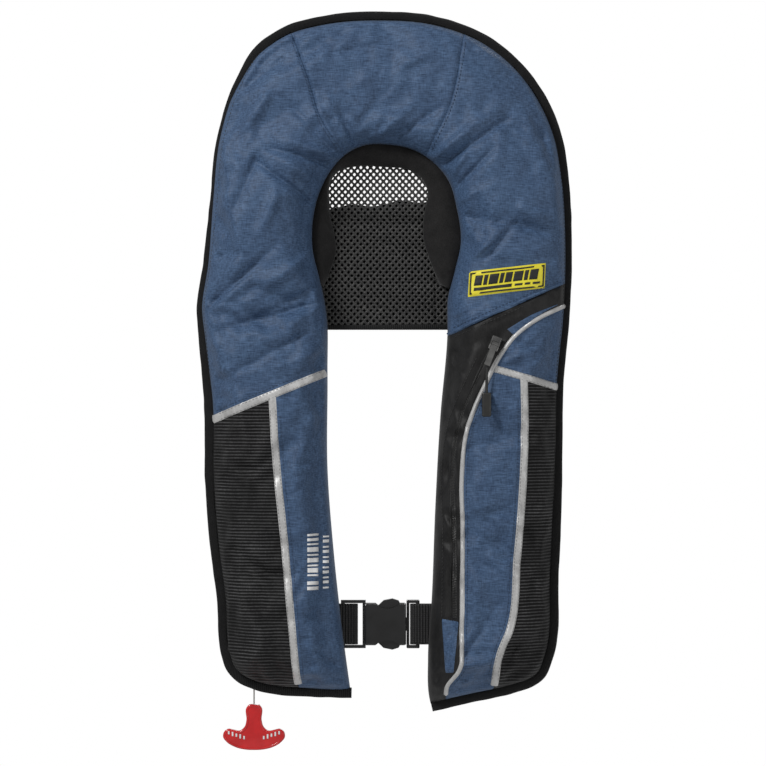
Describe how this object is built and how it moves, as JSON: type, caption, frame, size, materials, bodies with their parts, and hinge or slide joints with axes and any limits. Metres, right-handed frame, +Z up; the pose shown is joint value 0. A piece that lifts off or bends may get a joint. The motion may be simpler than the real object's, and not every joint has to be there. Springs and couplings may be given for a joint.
{
  "type": "inflatable life jacket",
  "caption": "Horseshoe inflatable life jacket with a zipped nylon cover, mesh neck yoke, webbing waist belt with side-release buckle, and a pull handle on a cord.",
  "frame": {"origin": "under the top of the collar at the back of the neck, in the plane of the cover's edge seam, where a hanger or the wearer's neck carries the jacket", "axes": "+Z up as the jacket hangs, +X to the right as seen from the front, +Y to the wearer's back; the cover's front faces -Y"},
  "size_m": [0.3433, 0.0714, 0.676],
  "materials": {
    "blue_nylon": "plain weave nylon, matt",
    "black_nylon": "black nylon, matt, ribbed on the side panels",
    "collar_cloth": "soft knitted neoprene, matt",
    "mesh_cloth": "open knitted mesh",
    "hook_and_loop": "hook and loop tape",
    "reflective_tape": "silver-grey reflective tape, satin",
    "zip_teeth": "satin",
    "label_cloth": "yellow woven patch with a black border",
    "bladder_cloth": "coated yellow cloth",
    "webbing": "woven polyester webbing",
    "buckle_plastic": "satin black",
    "inflator_plastic": "satin black",
    "yellow_plastic": "satin yellow",
    "red_plastic": "moulded red, glossy",
    "cord": "thin braided cord",
    "cylinder_metal": "satin grey",
    "zip_metal": "black enamel, satin",
    "zip_pull_rubber": "moulded rubber"
  },
  "bodies": {
    "jacket": {"back_left": "black_nylon", "back_neck": "black_nylon", "back_right": "black_nylon", "belt_left": "webbing", "belt_loop_left": "webbing", "belt_right": "webbing", "bladder": "bladder_cloth", "buckle_socket": "buckle_plastic", "closure_left": "hook_and_loop", "closure_right": "hook_and_loop", "cover_left_chest": "blue_nylon", "cover_left_front": "blue_nylon", "cover_left_side": "black_nylon", "cover_neck": "blue_nylon", "cover_right_chest": "blue_nylon", "cover_right_front": "blue_nylon", "cover_right_side": "black_nylon", "cover_right_wedge": "blue_nylon", "cover_zip_panel": "black_nylon", "edge_binding": "black_nylon", "inflator_body": "inflator_plastic", "label_patch": "label_cloth", "left_diagonal_tape": "reflective_tape", "left_upright_tape": "reflective_tape", "lever_pin": "zip_metal", "neck_collar": "collar_cloth", "oral_tube": "inflator_plastic", "right_diagonal_tape": "reflective_tape", "right_upright_tape": "reflective_tape", "sleeve_left": "black_nylon", "sleeve_right": "black_nylon", "whistle": "red_plastic", "whistle_lanyard": "cord", "zip_chain": "zip_teeth", "zip_end_patch": "blue_nylon", "zip_piping": "reflective_tape"},
    "yoke": {"yoke_mesh": "mesh_cloth", "belt_channel": "black_nylon", "belt_back": "webbing"},
    "plug": {"buckle_plug": "buckle_plastic", "belt_loop_right": "webbing", "belt_tail": "webbing"},
    "prong_upper": {"prong_upper": "buckle_plastic"},
    "prong_lower": {"prong_lower": "buckle_plastic"},
    "cord": {"pull_cord": "cord"},
    "handle": {"pull_handle": "red_plastic"},
    "lever": {"inflator_lever": "yellow_plastic"},
    "cylinder": {"co2_cylinder": "cylinder_metal"},
    "auto_cap": {"auto_cap": "yellow_plastic"},
    "oral_cap": {"oral_cap": "red_plastic"},
    "slider": {"zip_slider": "zip_metal"},
    "zip_tab": {"zip_tab": "zip_metal"},
    "zip_cord": {"zip_pull_cord": "zip_pull_rubber"}
  },
  "joints": [
    {"name": "yoke_swing", "type": "hinge", "parent": "jacket", "child": "yoke", "pos_m": [0, 0.0087, 0.009], "axis": [1, 0, 0], "range_deg": [0, 35]},
    {"name": "buckle_release", "type": "slide", "parent": "jacket", "child": "plug", "axis": [1, 0, 0], "range_m": [0, 0.032]},
    {"name": "prong_upper_squeeze", "type": "hinge", "parent": "plug", "child": "prong_upper", "pos_m": [0.0172, 0.0124, -0.4031], "axis": [0, -1, 0], "range_deg": [0, 7], "stiffness_Nm_per_rad": 0.2},
    {"name": "prong_lower_squeeze", "type": "hinge", "parent": "plug", "child": "prong_lower", "pos_m": [0.0172, 0.0124, -0.4349], "axis": [0, 1, 0], "range_deg": [0, 7], "stiffness_Nm_per_rad": 0.2},
    {"name": "handle_pull", "type": "slide", "parent": "jacket", "child": "cord", "axis": [0, 0, -1], "range_m": [0, 0.037]},
    {"name": "handle_swing", "type": "hinge", "parent": "cord", "child": "handle", "pos_m": [-0.1215, 0, -0.4913], "axis": [0, 1, 0], "range_deg": [-25, 25]},
    {"name": "lever_swing", "type": "hinge", "parent": "jacket", "child": "lever", "pos_m": [-0.1095, -0.0023, -0.419], "axis": [0, -1, 0], "range_deg": [0, 115]},
    {"name": "cylinder_unscrew", "type": "hinge", "parent": "jacket", "child": "cylinder", "pos_m": [-0.119, -0.0176, -0.32], "axis": [0, 0, 1], "continuous": true},
    {"name": "auto_cap_unscrew", "type": "hinge", "parent": "jacket", "child": "auto_cap", "pos_m": [-0.119, -0.015, -0.444], "axis": [0, 0, -1], "continuous": true},
    {"name": "oral_cap_pull", "type": "slide", "parent": "jacket", "child": "oral_cap", "axis": [0, 0, 1], "range_m": [0, 0.015]},
    {"name": "zip_travel", "type": "hinge", "parent": "jacket", "child": "slider", "pos_m": [0.662, -0.046, -0.3788], "axis": [0, -1, 0], "range_deg": [0, 26.8]},
    {"name": "zip_tab_lift", "type": "hinge", "parent": "slider", "child": "zip_tab", "pos_m": [0.097, -0.05, -0.162], "axis": [-0.9336, 0, 0.3584], "range_deg": [0, 120]},
    {"name": "zip_cord_hang", "type": "hinge", "parent": "zip_tab", "child": "zip_cord", "pos_m": [0.08934, -0.05, -0.18198], "axis": [-0.9336, 0, 0.3584], "range_deg": [-121, 1]}
  ],
  "couplings": [
    {"joint": "lever_swing", "follows": "handle_pull", "rad_per_m": 53.9},
    {"joint": "zip_cord_hang", "follows": "zip_tab_lift", "ratio": -1}
  ]
}
